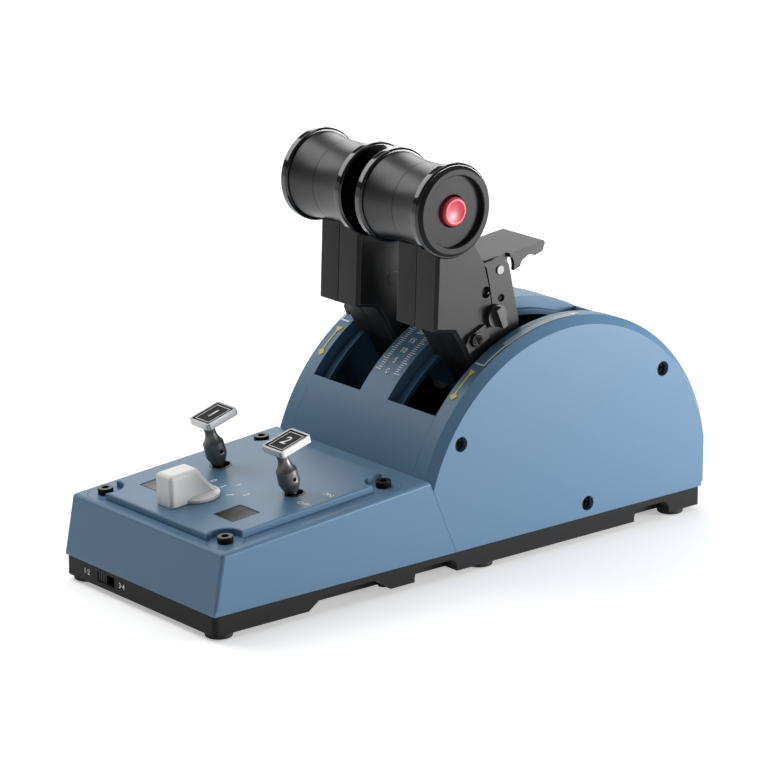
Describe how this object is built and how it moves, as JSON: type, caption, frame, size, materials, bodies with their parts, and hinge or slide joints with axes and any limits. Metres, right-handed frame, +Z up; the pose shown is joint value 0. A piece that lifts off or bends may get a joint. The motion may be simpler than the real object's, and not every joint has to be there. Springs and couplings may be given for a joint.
{
  "type": "throttle quadrant",
  "caption": "Desk throttle quadrant: sloping switch console with toggles and a rotary knob, a slotted drum, and levers with cross grips, red buttons, reverser paddles and locks.",
  "frame": {"origin": "centre of the bounding box on the plane of the rubber feet", "axes": "+X is the pilot's right, +Y points away from the pilot, +Z is up"},
  "size_m": [0.11, 0.2854, 0.1861],
  "materials": {
    "tray_black": "matte, fine texture",
    "foot_rubber": "matte",
    "shell_blue": "satin, fine grain",
    "black_screws": "black oxide",
    "smoked_glass": "polished, smoked",
    "toggle_grey": "satin anodised",
    "bushing_steel": "satin",
    "switch_black": "matte",
    "label_black": "satin with light numeral",
    "knob_white": "satin",
    "board_green": "solder mask",
    "inlet_metal": "plated",
    "frame_metal": "black anodised",
    "casing_black": "satin",
    "grip_black": "matte, fine texture",
    "ring_black": "gloss",
    "button_red": "satin",
    "bracket_black": "satin powder coat",
    "pin_steel": "satin",
    "lock_black": "satin"
  },
  "bodies": {
    "base": {"base_tray": "tray_black", "rubber_feet": "foot_rubber", "console_cover": "shell_blue", "quadrant_cover": "shell_blue", "top_plate": "shell_blue", "slot_guard": "shell_blue", "cheek_screws": "black_screws", "base_screws": "black_screws", "plate_screws": "black_screws", "status_windows": "smoked_glass", "toggle_bushings": "bushing_steel", "pivot_shaft": "bushing_steel", "toggle_bases": "switch_black", "mode_switch": "switch_black", "slide_switch": "switch_black", "console_board": "board_green", "main_board": "board_green", "sensor_boards": "board_green", "cable_inlet": "inlet_metal", "quadrant_frame": "frame_metal", "detent_sectors": "frame_metal", "left_cheek": "shell_blue", "right_cheek": "shell_blue"},
    "left_lever": {"left_lever_arm": "frame_metal", "left_casing_inner": "casing_black", "left_casing_outer": "casing_black", "left_grip_inner": "grip_black", "left_grip_outer": "grip_black", "left_grip_rings": "ring_black", "left_end_cap": "ring_black", "left_button_switch": "switch_black", "left_reverser_bracket": "bracket_black", "left_paddle_pin": "pin_steel", "left_bracket_screw": "pin_steel"},
    "left_paddle": {"left_reverser_paddle": "bracket_black"},
    "left_lock": {"left_lock_knob": "lock_black"},
    "left_button": {"left_red_button": "button_red"},
    "left_toggle": {"left_toggle_stem": "bushing_steel"},
    "left_toggle_pull": {"left_toggle_sleeve": "toggle_grey", "left_toggle_label": "label_black"},
    "right_lever": {"right_lever_arm": "frame_metal", "right_casing_inner": "casing_black", "right_casing_outer": "casing_black", "right_grip_inner": "grip_black", "right_grip_outer": "grip_black", "right_grip_rings": "ring_black", "right_end_cap": "ring_black", "right_button_switch": "switch_black", "right_reverser_bracket": "bracket_black", "right_paddle_pin": "pin_steel", "right_bracket_screw": "pin_steel"},
    "right_paddle": {"right_reverser_paddle": "bracket_black"},
    "right_lock": {"right_lock_knob": "lock_black"},
    "right_button": {"right_red_button": "button_red"},
    "right_toggle": {"right_toggle_stem": "bushing_steel"},
    "right_toggle_pull": {"right_toggle_sleeve": "toggle_grey", "right_toggle_label": "label_black"},
    "mode_knob": {"mode_knob": "knob_white", "mode_shaft": "bushing_steel"},
    "slide_knob": {"slide_knob": "switch_black"}
  },
  "joints": [
    {"name": "left_lever_swing", "type": "hinge", "parent": "base", "child": "left_lever", "pos_m": [0, 0.0597, 0.0183], "axis": [-1, 0, 0], "range_deg": [-18, 38]},
    {"name": "left_paddle_lift", "type": "hinge", "parent": "left_lever", "child": "left_paddle", "pos_m": [0, 0.02822, 0.13182], "axis": [1, 0, 0], "range_deg": [0, 18], "stiffness_Nm_per_rad": 0.06, "springref_deg": -22.92},
    {"name": "left_lock_turn", "type": "hinge", "parent": "left_lever", "child": "left_lock", "pos_m": [-0.041, 0.02505, 0.11142], "axis": [-1, 0, 0], "range_deg": [0, 90]},
    {"name": "left_button_press", "type": "slide", "parent": "left_lever", "child": "left_button", "axis": [1, 0, 0], "range_m": [0, 0.0015], "stiffness_N_per_m": 400, "springref_m": -0.001},
    {"name": "left_toggle_throw", "type": "hinge", "parent": "base", "child": "left_toggle", "pos_m": [-0.0262, -0.07671, 0.04211], "axis": [-1, 0, 0], "range_deg": [0, 24]},
    {"name": "left_toggle_pull_up", "type": "slide", "parent": "left_toggle", "child": "left_toggle_pull", "axis": [0, -0.284, 0.9588], "range_m": [0, 0.003], "stiffness_N_per_m": 400, "springref_m": -0.002},
    {"name": "right_lever_swing", "type": "hinge", "parent": "base", "child": "right_lever", "pos_m": [0, 0.0597, 0.0183], "axis": [-1, 0, 0], "range_deg": [-18, 38]},
    {"name": "right_paddle_lift", "type": "hinge", "parent": "right_lever", "child": "right_paddle", "pos_m": [0, 0.02822, 0.13182], "axis": [1, 0, 0], "range_deg": [0, 18], "stiffness_Nm_per_rad": 0.06, "springref_deg": -22.92},
    {"name": "right_lock_turn", "type": "hinge", "parent": "right_lever", "child": "right_lock", "pos_m": [0.041, 0.02505, 0.11142], "axis": [1, 0, 0], "range_deg": [0, 90]},
    {"name": "right_button_press", "type": "slide", "parent": "right_lever", "child": "right_button", "axis": [-1, 0, 0], "range_m": [0, 0.0015], "stiffness_N_per_m": 400, "springref_m": -0.001},
    {"name": "right_toggle_throw", "type": "hinge", "parent": "base", "child": "right_toggle", "pos_m": [0.0262, -0.07671, 0.04211], "axis": [-1, 0, 0], "range_deg": [0, 24]},
    {"name": "right_toggle_pull_up", "type": "slide", "parent": "right_toggle", "child": "right_toggle_pull", "axis": [0, -0.284, 0.9588], "range_m": [0, 0.003], "stiffness_N_per_m": 400, "springref_m": -0.002},
    {"name": "mode_knob_turn", "type": "hinge", "parent": "base", "child": "mode_knob", "pos_m": [-0.0035, -0.10769, 0.04067], "axis": [0, -0.0785, 0.9969], "range_deg": [-45, 45]},
    {"name": "slide_knob_move", "type": "slide", "parent": "base", "child": "slide_knob", "axis": [1, 0, 0], "range_m": [0, 0.006]}
  ]
}
